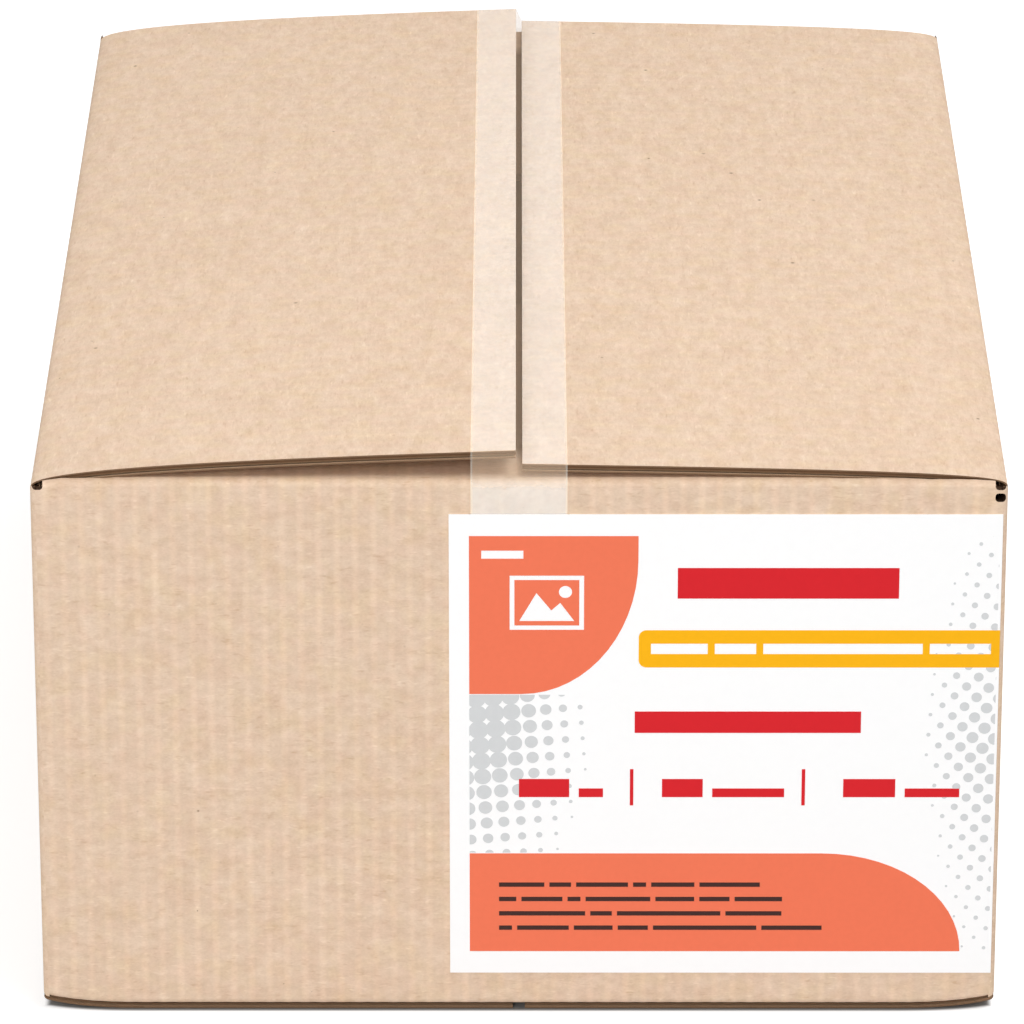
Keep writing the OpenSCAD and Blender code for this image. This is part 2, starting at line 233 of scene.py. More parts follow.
def solid_from_rings(rings, slots=(0, 1, 2)):
    """Closed solid through a stack of closed rings.

    rings is an array (rows, points, 3). The first half of each ring runs over
    the outer face and the second half runs back under it, so that point j and
    point -1-j lie across the thickness. Neighbouring rings are joined by
    quads, and the two end rings are closed by quads between their halves.
    slots are the material slots of the outer face, the inner face and the
    edges. Returns points, faces and the slot of each face.
    """
    rows, count = rings.shape[:2]
    index = np.arange(rows * count).reshape(rows, count)
    after = np.roll(index, -1, axis=1)
    walls = np.stack([index[:-1], after[:-1], after[1:], index[1:]], axis=-1)
    half = count // 2
    wall_slots = np.full(walls.shape[:2], slots[1])
    wall_slots[:, :half - 1] = slots[0]
    wall_slots[:, [half - 1, count - 1]] = slots[2]
    first, last = index[0], index[-1]
    caps = [np.stack([row[:half - 1], row[::-1][:half - 1],
                      row[::-1][1:half], row[1:half]], axis=-1) for row in (first, last)]
    faces = np.concatenate([walls.reshape(-1, 4), caps[0], caps[1][:, ::-1]])
    face_slots = np.concatenate([wall_slots.ravel(), np.full(2 * (half - 1), slots[2])])
    points = rings.reshape(-1, 3)
    corner = points[faces]
    volume = np.einsum("ij,ij->i", corner[:, 0] - points[0],
                       np.cross(corner[:, 1] - corner[:, 0], corner[:, 2] - corner[:, 0])
                       + np.cross(corner[:, 2] - corner[:, 0], corner[:, 3] - corner[:, 0]))
    if volume.sum() < 0:
        faces = faces[:, ::-1]
    return points, faces, face_slots


def circle(points):
    """A circle of radius 1, with its points half a step off the axes."""
    angle = (np.arange(points) + 0.5) * 2 * pi / points
    return np.stack([np.cos(angle), np.sin(angle)], axis=-1)


def rounded_outline(half_w, half_h, r):
    """A rounded rectangle: a circle whose four quarters are moved apart."""
    rim = circle(32)
    return np.sign(rim) * (np.array([half_w, half_h]) - r) + r * rim


def join(solids):
    """Several solids of quads as one set of points, faces and slots."""
    points, faces, slots = zip(*solids)
    starts = np.cumsum([0] + [len(some) for some in points[:-1]])
    return (np.concatenate(points),
            np.concatenate([some + start for some, start in zip(faces, starts)]),
            np.concatenate(slots))


def quad_mesh(name, solid):
    """Mesh of one closed solid of quads."""
    points, faces, slots = solid
    mesh = bpy.data.meshes.new(name)
    mesh.vertices.add(len(points))
    mesh.vertices.foreach_set("co", points.astype(np.float32).ravel())
    mesh.loops.add(faces.size)
    mesh.loops.foreach_set("vertex_index", faces.astype(np.int32).ravel())
    mesh.polygons.add(len(faces))
    mesh.polygons.foreach_set("loop_start", np.arange(0, faces.size, 4, dtype=np.int32))
    mesh.polygons.foreach_set("material_index", slots.astype(np.int32))
    mesh.update(calc_edges=True)
    return mesh


def cut_mesh(mesh, cutters, operation="DIFFERENCE"):
    """The mesh less each cutter, or the share that it has in common with it.

    A cutter is one closed solid of quads.
    """
    for cutter in cutters:
        whole = bpy.data.objects.new("whole", mesh)
        tool = bpy.data.objects.new("tool", quad_mesh("tool", cutter))
        for made in (whole, tool):
            bpy.context.scene.collection.objects.link(made)
        cut = whole.modifiers.new("opening", "BOOLEAN")
        cut.object = tool
        cut.operation = operation
        cut.solver = "MANIFOLD"
        bpy.context.view_layer.update()
        evaluated = whole.evaluated_get(bpy.context.evaluated_depsgraph_get())
        mesh = bpy.data.meshes.new_from_object(evaluated)
        if not mesh.vertices:
            raise RuntimeError("An opening's cut left nothing of its board")
        for made in (whole, tool):
            bpy.data.objects.remove(made)
    return mesh


def make_piece(name, meshes, materials, replaced, sharp=40):
    """One object from several closed meshes, riding on the carton's body."""
    merged = bmesh.new()
    for mesh in meshes:
        merged.from_mesh(mesh)
    mesh = bpy.data.meshes.new(name)
    merged.to_mesh(mesh)
    merged.free()
    mesh.shade_smooth()
    mesh.set_sharp_from_angle(angle=radians(sharp))
    for material in materials:
        mesh.materials.append(material)
    piece = bpy.data.objects.new(name, mesh)
    bpy.context.scene.collection.objects.link(piece)
    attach(piece, BODY)
    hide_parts(replaced)
    return piece


def through_board(outer, inner, depth, across):
    """Points inside a bent board.

    outer and inner are its two faces as arrays (rows, 1 or columns, 2) of
    [distance inwards, height]. Each point lies on the straight line between
    them, at depth as a share of the thickness, and across is its place along
    the fold. Returns an array (rows, columns, 3) of [inwards, across, height].
    """
    depth = np.broadcast_to(depth, (outer.shape[0], len(across)))[..., None]
    blend = outer * (1 - depth) + inner * depth
    where = np.broadcast_to(across, blend.shape[:2])
    return np.stack([blend[..., 0], where, blend[..., 1]], axis=-1)


def board_layer(outer, inner, top, bottom, across):
    """Rings of one layer of the board, between two depths given as shares."""
    face = through_board(outer, inner, top, across)
    back = through_board(outer, inner, bottom, across)
    return np.concatenate([face, back[:, ::-1]], axis=1)


def across_flutes(low, high):
    """Places across the flutes, six to a flute, with both ends."""
    pitch = settings("board").pitch
    fine = np.arange(low, high, pitch / 6)
    return np.append(fine[high - fine > pitch / 12], high)


def washboard(across):
    """Sinking of the outer liner between the flutes, as a share of the board.

    A cosine wave, which fades out over the last flute at either end.
    """
    board = settings("board")
    room = np.minimum(across - across[0], across[-1] - across)
    fade = np.clip(room / board.pitch, 0, 1)
    wave = 0.5 - 0.5 * np.cos(2 * pi * across / board.pitch)
    return board.washboard / board.thickness * fade * wave


def board_meshes(name, outer, inner, low, high, place):
    """The three layers of a bent board: outer liner, inner liner, fluted paper.

    The fluted paper is a sine wave across the board, its crests against the
    liners, in ten steps to a flute. The outer liner sinks a little between
    the flutes. place turns [inwards, across, height] into points of the
    carton.
    """
    board = settings("board")
    liner = board.liner / board.thickness
    paper = board.medium / board.thickness
    fine = across_flutes(low, high)
    wash = washboard(fine)
    coarse = np.linspace(low, high, 40)
    narrow = np.arange(low + board.recess, high - board.recess, board.pitch / 10)
    wave = (0.5 - liner - paper / 2) * np.cos(2 * pi * narrow / board.pitch)
    layers = ((wash, liner, fine, (0, 1, 2)), (1 - liner, 1, coarse, (1, 1, 2)),
              (0.5 + wave - paper / 2, 0.5 + wave + paper / 2, narrow, (3, 3, 3)))
    return [quad_mesh(name, solid_from_rings(place(board_layer(outer, inner, top, bottom, across)),
                                             slots))
            for top, bottom, across, slots in layers]


def at_side(side):
    """Placing for boards hinged on a side panel: side is -1 left and 1 right."""
    def place(points):
        inwards, across, height = np.moveaxis(points, -1, 0)
        return np.stack([side * (HALF_W - inwards), across, height], axis=-1)
    return place


def at_end(end):
    """Placing for the end panels: end is -1 for the front and 1 for the back."""
    def place(points):
        inwards, across, height = np.moveaxis(points, -1, 0)
        return np.stack([across, end * (HALF_L - inwards), height], axis=-1)
    return place


# Profiles of the boards

def flap_length():
    return HALF_W - settings("flaps").seam_gap / 2


def flap_height(distance, rise, bend):
    """Height of a top flap: the hinge's height plus a power of the distance."""
    share = np.clip(distance / flap_length(), 0, None)
    return settings("board").hinge_h + rise * share ** bend


def flap_heights(distance):
    """Heights of the left and the right top flap, at a distance inwards."""
    flaps = settings("flaps")
    return (flap_height(distance, flaps.left_rise, flaps.left_bend),
            flap_height(distance, flaps.right_rise, flaps.right_bend))


def flap_above(across):
    """Height of the top flap that lies over each place across the carton."""
    return np.where(across < 0, *flap_heights(HALF_W - np.abs(across)))


def top_flap_profile(rise, bend, steps=30):
    """Outer and inner face of a top flap from its hinge to the seam.

    The steps grow with a power of their number, so that the tight bend at
    the hinge is smooth. The inner face starts one thickness further in.
    """
    board = settings("board")
    share = (np.arange(steps + 1) / steps) ** 2.4
    far = flap_length()
    outer_s = far * share
    inner_s = board.thickness + (far - board.thickness) * share
    outer = np.stack([outer_s, flap_height(outer_s, rise, bend)], axis=-1)
    inner = np.stack([inner_s, flap_height(inner_s, rise, bend) - board.thickness], axis=-1)
    return outer[:, None], inner[:, None]


def floor_height(distance):
    """Height of a bottom flap's lower face: a cubic run down to the floor,
    and the round fold at the foot of the side panel."""
    board, flaps = settings("board"), settings("flaps")
    run = flaps.bottom_lift * (1 - np.minimum(distance / flaps.bottom_run, 1)) ** 3
    inside = np.clip(board.foot_r - distance, 0, None)
    return run + board.foot_r - np.sqrt(board.foot_r ** 2 - inside ** 2)


def bottom_flap_profile(steps=26):
    """Outer and inner face of a bottom flap, from the foot to the seam."""
    board, flaps = settings("board"), settings("flaps")
    far = HALF_W - flaps.bottom_gap / 2
    share = (np.arange(steps + 1) / steps) ** 2.6
    outer_s = far * share
    inner_s = board.thickness + (far - board.thickness) * share
    outer = np.stack([outer_s, floor_height(outer_s)], axis=-1)
    inner = np.stack([inner_s, floor_height(inner_s) + board.thickness], axis=-1)
    return outer[:, None], inner[:, None]


def panel_top(across):
    """Height of the end panels' fold, which drops to the hinges at the sides."""
    board = settings("board")
    distance = HALF_W - np.abs(across)
    shoulder = board.shoulder * np.clip(distance / board.shoulder_run, 0, 1)
    return np.minimum(flap_above(across) - shoulder, board.fold_h)


def flap_sink(across):
    """How far the upper short flaps sink behind the panel's fold, so that
    they lie under the long flaps' inner faces and never reach into them."""
    below = flap_above(across) - settings("board").thickness - FLAP_ROOM
    return np.clip(panel_top(across) - below, 0, None)


def end_panel_profile(across, steps=8):
    """Outer and inner face of an end panel with its two short flaps.

    The path runs along the lower short flap, round the lower fold, up the
    panel, round the upper fold and in along the upper short flap. Near the
    sides the upper fold drops and the lower fold rises with the side
    panels' hinges, over the nearest few millimetres of the panel. Between
    its fold and the long flap's end the upper short flap sinks further.
    """
    board = settings("board")
    t, r = board.thickness, board.fold_r
    angle = np.linspace(0, pi / 2, steps)
    reach = np.linspace(flap_length(), CLOSE, 4)
    near = np.linspace(CLOSE, r, 5)[1:-1]
    inwards = np.concatenate([reach, near, [board.setback]])
    wall = np.linspace(t + r, board.fold_h - r, 26)[1:-1]
    low, high = t, board.fold_h

    def path(radius, depth):
        """The path at one depth, with folds of one radius."""
        start = depth + radius
        flat = np.maximum(inwards, start + 0.1 * MM * np.arange(len(inwards), 0, -1))
        lower = np.stack([start - radius * np.sin(angle),
                          low + start - radius * np.cos(angle)], axis=-1)
        upper = np.stack([start - radius * np.cos(angle),
                          high - start + radius * np.sin(angle)], axis=-1)
        return np.concatenate([
            np.stack([flat, np.full(len(flat), low + depth)], axis=-1),
            lower,
            np.stack([np.full(len(wall), depth), wall], axis=-1),
            upper,
            np.stack([flat[::-1], np.full(len(flat), high - depth)], axis=-1)])

    drop, sink = board.fold_h - panel_top(across), flap_sink(across)
    lift = floor_height(HALF_W - np.abs(across))
    faces = []
    for radius, depth in ((r, 0), (INNER_R, t)):
        line = path(radius, depth)[:, None] + np.zeros((1, len(across), 1))
        up = np.clip((line[..., 1] - (high - GIVING)) / GIVING, 0, 1)
        down = np.clip((low + GIVING - line[..., 1]) / GIVING, 0, 1)
        deep = np.clip((line[..., 0] - r) / (board.setback - r), 0, 1)
        line[..., 1] += lift * down ** 1.5 - (drop + sink * deep) * up ** 1.5
        faces.append(line)
    return faces


# Finishes

class Finish:
    """A node-based material, built one node at a time."""

    def __init__(self, name):
        self.material = bpy.data.materials.new(name)
        self.material.use_nodes = True
        self.tree = self.material.node_tree
        self.shader = self.tree.nodes["Principled BSDF"]
        self.place = self.node("ShaderNodeTexCoord").outputs["Object"]

    def node(self, kind, inputs=None, **options):
        """Adds a node, sets its options and fills or links its inputs."""
        made = self.tree.nodes.new(kind)
        for option, value in options.items():
            setattr(made, option, value)
        for socket, value in (inputs or {}).items():
            if isinstance(value, bpy.types.NodeSocket):
                self.tree.links.new(value, made.inputs[socket])
            else:
                made.inputs[socket].default_value = value
        return made

    def math(self, operation, first, second=0.0, third=0.0):
        """The outcome of one Math node."""
        return self.node("ShaderNodeMath", {0: first, 1: second, 2: third},
                         operation=operation).outputs[0]

    def noise(self, scale, detail=2.0, stretch=(1, 1, 1), shift=0.0):
        """Noise from 0 to 1, with a number of grains to the metre."""
        spread = self.node("ShaderNodeMapping",
                           {"Vector": self.place, "Scale": stretch,
                            "Location": (shift, shift, shift)}).outputs[0]
        return self.node("ShaderNodeTexNoise",
                         {"Vector": spread, "Scale": scale, "Detail": detail}).outputs[0]

    def specks(self, scale, radius, depth):
        """Round specks, one to a cell at most, whose sizes vary up to radius
        in cells. Most are far smaller: the size is a high power of chance."""
        cells = self.node("ShaderNodeTexVoronoi", {"Vector": self.place, "Scale": scale})
        chance = self.node("ShaderNodeSeparateColor", {0: cells.outputs["Color"]}).outputs[0]
        size = self.math("MULTIPLY", self.math("POWER", chance, 5.0), radius)
        core = self.math("MULTIPLY", size, 0.3)
        return self.node("ShaderNodeMapRange", {0: cells.outputs["Distance"], 1: core,
                                                2: size, 3: depth, 4: 0.0}).outputs[0]

    def above(self, amount, start, stop):
        """0 up to start and 1 from stop on, in a straight run between."""
        return self.node("ShaderNodeMapRange", {0: amount, 1: start, 2: stop}).outputs[0]

    def tint(self, base, amount, low=0.0, high=1.0):
        """The colour times a factor that runs from low to high with amount."""
        factor = self.node("ShaderNodeMapRange", {0: amount, 3: low, 4: high}).outputs[0]
        return self.times(base, factor)

    def times(self, base, shares):
        """The colour with each of its channels multiplied."""
        return self.node("ShaderNodeVectorMath", {0: base, 1: shares},
                         operation="MULTIPLY").outputs[0]

    def mix(self, amount, first, second):
        """The first colour at 0, the second at 1, and a blend between."""
        made = self.node("ShaderNodeMix", {0: amount}, data_type="RGBA")
        for socket, value in ((made.inputs[6], first), (made.inputs[7], second)):
            if isinstance(value, bpy.types.NodeSocket):
                self.tree.links.new(value, socket)
            else:
                socket.default_value = (*value, 1)
        return made.outputs[2]

    def set(self, **values):
        """Sets or links the shader's sockets, with _ for a space."""
        for name, value in values.items():
            socket = self.shader.inputs[name.replace("_", " ")]
            if isinstance(value, bpy.types.NodeSocket):
                self.tree.links.new(value, socket)
            else:
                socket.default_value = value

    def bump(self, height, distance, strength):
        """Relief of one height, with the distance from 0 to 1 in metres."""
        normal = self.node("ShaderNodeBump", {"Height": height, "Distance": distance,
                                              "Strength": strength}).outputs[0]
        self.tree.links.new(normal, self.shader.inputs["Normal"])


def kraft_finish(name, base, grain_axis, stretch, flute_axis, flute_shading,
                 shaded_fold_h=None, under_flap_shade=None):
    """Kraft liner: patches of two hues, a cloudy mottle, pale and dark fibres
    along the grain, fine grain, brown specks and faint stripes along the
    flutes, a painted shading of the washboard's ridges.

    The mottle runs between a darker, browner tone and a paler, greyer one.
    shaded_fold_h is the height of an end panel's top fold, whose upper side
    gets a browner painted shade: from 1.3 to 0.1 mm below that height, and out
    again from 1.5 to 4 mm inwards. under_flap_shade is the tone of a painted
    shade on the short flaps deep under the long ones, from 13 to 20 mm inwards.
    """
    finish = Finish(name)
    board = settings("board")
    along = [1.0, 1.0, 1.0]
    along[grain_axis] = stretch
    brown = [share * base[k] for k, share in enumerate((0.78, 0.71, 0.63))]
    pale = [share * base[k] for k, share in enumerate((1.22, 1.29, 1.37))]
    mottle = 0.5
    for scale, detail, way, shift, weight in (
            (38, 3, (1, 1, 1), 0.0, 0.12),      # clouds
            (330, 2, along, 0.3, 0.5),          # coarse grain
            (900, 2, along, 0.7, 0.46),         # grain
            (2400, 1, along, 1.9, 0.32)):       # fine grain
        swing = finish.math("SUBTRACT", finish.noise(scale, detail, way, shift), 0.5)
        mottle = finish.math("MULTIPLY_ADD", swing, weight, mottle)
    hue = finish.mix(mottle, brown, pale)
    dash = [2.0 if k != grain_axis else 0.9 * stretch for k in range(3)]
    for noise, start, stop, shares in (
            ((230, 2, (1, 1, 1), 1.1), 0.4, 0.65, (1.0, 0.97, 0.965)),   # rosy patches
            ((190, 2, (1, 1, 1), 2.9), 0.45, 0.7, (1.0, 1.0, 0.94)),     # sandy patches
            ((760, 1, dash, 3.7), 0.64, 0.78, (1.08, 1.11, 1.14)),       # pale fibres
            ((760, 1, dash, 5.3), 0.63, 0.82, (0.9, 0.85, 0.8))):        # dark fibres
        spots = finish.above(finish.noise(*noise), start, stop)
        hue = finish.mix(spots, hue, finish.times(hue, shares))
    # Painted shading: light and dark stripes along the flutes, for the shade of the washboard's
    # ridges
    axis = finish.node("ShaderNodeSeparateXYZ", {0: finish.place}).outputs[flute_axis]
    ridge = finish.math("COSINE", finish.math("MULTIPLY", axis, 2 * pi / board.pitch))
    patchy = finish.math("MULTIPLY", ridge, finish.noise(60, 2, along, 2.2))
    hue = finish.tint(hue, patchy, 1 - flute_shading, 1 + flute_shading)
    for scale, radius, depth, tone in ((150, 0.11, 0.75, (0.22, 0.12, 0.06)),
                                       (420, 0.16, 0.28, (0.42, 0.27, 0.165))):
        hue = finish.mix(finish.specks(scale, radius, depth), hue, tone)
    # Painted shade: the upper side of the end panels' top fold is darkened and browned
    if shaded_fold_h:
        y, z = finish.node("ShaderNodeSeparateXYZ", {0: finish.place}).outputs[1:]
        inwards = finish.math("SUBTRACT", HALF_L, finish.math("ABSOLUTE", y))
        fold_top_shade = finish.math("MULTIPLY", finish.above(z, shaded_fold_h - 1.3 * MM, shaded_fold_h - 0.1 * MM),
                             finish.above(inwards, 4 * MM, 1.5 * MM))
        hue = finish.mix(fold_top_shade, hue, finish.times(hue, (0.8, 0.77, 0.73)))
        # Painted shade on the short flaps deep under the long ones
        hue = finish.mix(finish.above(inwards, 13 * MM, 20 * MM), hue, under_flap_shade)
    finish.set(Base_Color=hue, Roughness=0.82, Specular_IOR_Level=0.2)
    finish.bump(mottle, 0.00008, 0.5)
    return finish.material


def grained_finish(name, base, grains, roughness, specular, tooth):
    """One colour, tinted by each grain of noise in turn, with a fine tooth.

    A grain is its lowest and highest factor and what noise takes. The tooth
    is the scale of its noise, its height in metres and its strength.
    """
    finish = Finish(name)
    hue = base
    for low, high, *noise in grains:
        hue = finish.tint(hue, finish.noise(*noise), low, high)
    finish.set(Base_Color=hue, Roughness=roughness, Specular_IOR_Level=specular)
    scale, height, strength = tooth
    finish.bump(finish.noise(scale, 2), height, strength)
    return finish.material


def raw_finish(name, base):
    """Uncoated kraft with coarse fibres: the darker inner kraft, or a painted shade."""
    return grained_finish(name, base, ((0.88, 1.1, 320, 3), (0.9, 1.1, 1800, 2, (1, 1, 0.3))),
                          0.9, 0.2, (1500, 0.0001, 0.5))


def paper_finish(name, base):
    """Coated paper: nearly even, with a fine tooth."""
    return grained_finish(name, base, ((0.985, 1.01, 500, 3),), 0.35, 0.4,
                          (1400, 0.00002, 0.3))


def ink_finish(name, base):
    """Printed ink: the paper's tooth, with a slightly uneven coat."""
    return grained_finish(name, base, ((0.97, 1.03, 700, 3), (0.985, 1.015, 60, 2)),
                          0.5, 0.12, (1400, 0.00002, 0.3))


def film_finish(name, base, loose, density=1.0):
    """Tape film: a milky veil with a soft gloss and a few faint streaks.

    The point attribute hold says where the film sticks, and there it is
    whiter than where it hangs free. The attribute veil is its cover.
    """
    finish = Finish(name)
    hold = finish.node("ShaderNodeAttribute", attribute_name="hold").outputs["Fac"]
    hue = finish.mix(hold, loose, base)
    hue = finish.tint(hue, finish.noise(120, 3, (1, 0.08, 0.08)), 0.97, 1.02)
    contact = finish.math("MULTIPLY_ADD", finish.noise(700, 3), 0.1, -0.05)
    veil = finish.node("ShaderNodeAttribute", attribute_name="veil").outputs["Fac"]
    cover = finish.math("MULTIPLY", veil, density)
    cover = finish.math("MULTIPLY_ADD", contact, hold, cover)
    finish.set(Base_Color=hue, Roughness=0.5, Alpha=cover, Specular_IOR_Level=0.12)
    finish.bump(finish.noise(260, 2, (1, 0.3, 0.3)), 0.00004, 0.4)
    return finish.material


def board_materials(kind):
    """Outer liner, inner liner, cut edge, fluted paper and openings' walls.

    The outer liner differs between the end panels, the side panels and the
    flaps, by the axis and stretch of its grain, the axis and depth of the
    flutes' stripes of painted shading, and, on the end panels, the painted
    shade on the top folds and under the long flaps.
    """
    tones = settings("colours")
    # Grain axis and stretch, flute axis, and depth of the flutes' painted stripes of shading
    ways = {"end": (0, 0.6, 0, 0.055), "side": (1, 0.6, 1, 0.055), "top": (1, 0.4, 1, 0.015)}
    # The end panels' fold height, and the tone of their painted shade under the long flaps
    folds = (settings("board").fold_h, tones.under_flap_shade) if kind == "end" else ()
    made = bpy.data.materials
    liner = f"kraft_{kind}"
    # Tones of the raw finishes; those of the cut edges and the openings' walls are painted shade
    plain_and_shade_tones = {"inner_kraft": tones.inner, "cut_edge": tones.edge,
           "fluted_paper": tones.medium, "opening_wall": tones.opening}
    return ([made.get(liner) or kraft_finish(liner, tones.liner, *ways[kind], *folds)]
            + [made.get(name) or raw_finish(name, tone) for name, tone in plain_and_shade_tones.items()])


# Operators

class CARTON_OT_end_panels(bpy.types.Operator):
    """Makes the front and back panels with their short flaps"""
    bl_idname = "carton.end_panels"
    bl_label = "End Panels"

    def execute(self, context):
        board = settings("board")
        edge = HALF_W - board.upright_r
        joint = HALF_W - board.joint_inset - board.joint_gap
        for name, end, high in (("front_panel", -1, edge), ("back_panel", 1, joint)):
            across = across_flutes(-edge, high)
            outer, inner = end_panel_profile(across)
            rings = at_end(end)(board_layer(outer, inner, washboard(across), 1, across))
            panel = cut_mesh(quad_mesh(name, solid_from_rings(rings)), openings(end))
            make_piece(name, [panel], board_materials("end"),
                       "sealed_carton")
        return {"FINISHED"}


class CARTON_OT_side_panels(bpy.types.Operator):
    """Makes the side panels with the upright folds at their ends"""
    bl_idname = "carton.side_panels"
    bl_label = "Side Panels"

    def execute(self, context):
        board = settings("board")
        for name, side in (("left_panel", -1), ("right_panel", 1)):
            lap = board.joint_inset - board.upright_r if side > 0 else 0
            rings = self.rings(lap)
            rings[..., 0] *= side
            panel = cut_mesh(quad_mesh(name, solid_from_rings(rings)),
                             openings(-1, (side,)) + openings(1, (side,)))
            make_piece(name, [panel], board_materials("side"),
                       "sealed_carton")
        return {"FINISHED"}

    def rings(self, lap):
        """Rings of a side panel on the right, one for each height.

        Seen from above the outer line runs from the front fold's quarter
        circle along the side to the back one, and lap further along the
        back panel. Its two ends stop short of the flaps' hinges.
        """
        board = settings("board")
        r, t = board.upright_r, board.thickness
        lap = max(lap, LEAST_STRIP)
        angle = np.linspace(0, pi / 2, 14)
        straight = HALF_L - r
        fine = across_flutes(-straight, straight)
        wash = washboard(fine)[1:-1] * t
        fine = fine[1:-1]

        def line(depth, radius, sink):
            """The wall's line at one depth, its side moved in by sink."""
            x, y = HALF_W - depth, HALF_L - depth
            front = np.stack([x - radius + radius * np.sin(angle),
                              -y + radius - radius * np.cos(angle)], axis=-1)
            side = np.stack([x - sink, fine * (y - radius) / straight], axis=-1)
            back = np.stack([x - radius + radius * np.cos(angle),
                             y - radius + radius * np.sin(angle)], axis=-1)
            start = np.array([[HALF_W - r - LEAST_STRIP, -y]])
            stop = np.array([[HALF_W - r - lap, y]])
            return np.concatenate([start, front, side, back, stop])

        outer, inner = line(0.005 * MM, r, wash), line(t, INNER_R, 0 * wash)
        inwards = HALF_W - outer[:, 0]
        corner = np.abs(outer[:, 1]) > HALF_L - board.setback
        foot = floor_height(np.zeros(1))[0]
        low = np.where(corner, floor_height(inwards) + t, foot)
        high = np.where(corner, panel_top(HALF_W - inwards), board.hinge_h)
        height = low + (high - low) * np.linspace(0, 1, 24)[:, None]

        def wall(plan):
            """The line repeated at every height."""
            return np.concatenate([np.broadcast_to(plan, (*height.shape, 2)),
                                   height[..., None]], axis=-1)
        return np.concatenate([wall(outer), wall(inner)[:, ::-1]], axis=1)


def openings(end, sides=(-1, 1)):
    """Cutters of the corner openings at one end of the carton.

    Each is a rounded prism that runs in from outside the end panel.
    """
    flaps = settings("flaps")
    w, h = flaps.slot_w / 2, flaps.slot_h / 2
    outline = rounded_outline(w, h, 0.8 * min(w, h))
    x = HALF_W - flaps.slot_inset - w
    z = settings("board").hinge_h + flaps.slot_lift + h
    places = [(side * x, z) for side in sides]
    if end < 0 and 1 in sides:
        places.append((x, z - flaps.slot_drop))
    depths = (HALF_L + 1 * MM, HALF_L - flaps.slot_depth)
    # The walls cut by these prisms take slot 4, a painted shade for the dark inside the openings
    return [solid_from_rings(np.stack([np.insert(outline + place, 1, end * depth, axis=-1)
                                       for depth in depths]), (4, 4, 4))
            for place in places]


class CARTON_OT_top_flaps(bpy.types.Operator):
    """Makes the two long top flaps, each with liners and fluted paper"""
    bl_idname = "carton.top_flaps"
    bl_label = "Top Flaps"

    def execute(self, context):
        board, flaps = settings("board"), settings("flaps")
        end = HALF_L - board.setback
        for name, side, rise, bend in (
                ("left_top_flap", -1, flaps.left_rise, flaps.left_bend),
                ("right_top_flap", 1, flaps.right_rise, flaps.right_bend)):
            outer, inner = top_flap_profile(rise, bend)
            liner, *layers = board_meshes(name, outer, inner, -end, end, at_side(side))
            cutters = openings(-1, (side,)) + openings(1, (side,))
            make_piece(name, [liner] + [cut_mesh(layer, cutters) for layer in layers],
                       board_materials("top"), "sealed_carton")
        return {"FINISHED"}


class CARTON_OT_bottom_flaps(bpy.types.Operator):
    """Makes the two long bottom flaps, each with liners and fluted paper"""
    bl_idname = "carton.bottom_flaps"
    bl_label = "Bottom Flaps"

    def execute(self, context):
        end = HALF_L - settings("board").setback
        for name, side in (("left_bottom_flap", -1), ("right_bottom_flap", 1)):
            outer, inner = bottom_flap_profile()
            layers = board_meshes(name, outer, inner, -end, end, at_side(side))
            make_piece(name, layers, board_materials("top"),
                       "sealed_carton")
        return {"FINISHED"}


class CARTON_OT_packs(bpy.types.Operator):
    """Makes the wrapped packs of paper, which show only through the seam"""
    bl_idname = "carton.packs"
    bl_label = "Packs of Paper"

    def execute(self, context):
        board, paper = settings("board"), settings("paper")
        base = 3 * board.thickness
        height = np.linspace(base, paper.top, 6)
        plan = rounded_outline(paper.width / 2, paper.length / 2, paper.corner_r)
        rings = np.stack([np.insert(plan, 2, level, axis=-1) for level in height])
        wrap = raw_finish("pack_wrapper", settings("colours").wrap)
        packs = quad_mesh("paper_packs", solid_from_rings(rings, (0, 0, 0)))
        make_piece("paper_packs", [packs], [wrap], "sealed_carton")
        return {"FINISHED"}


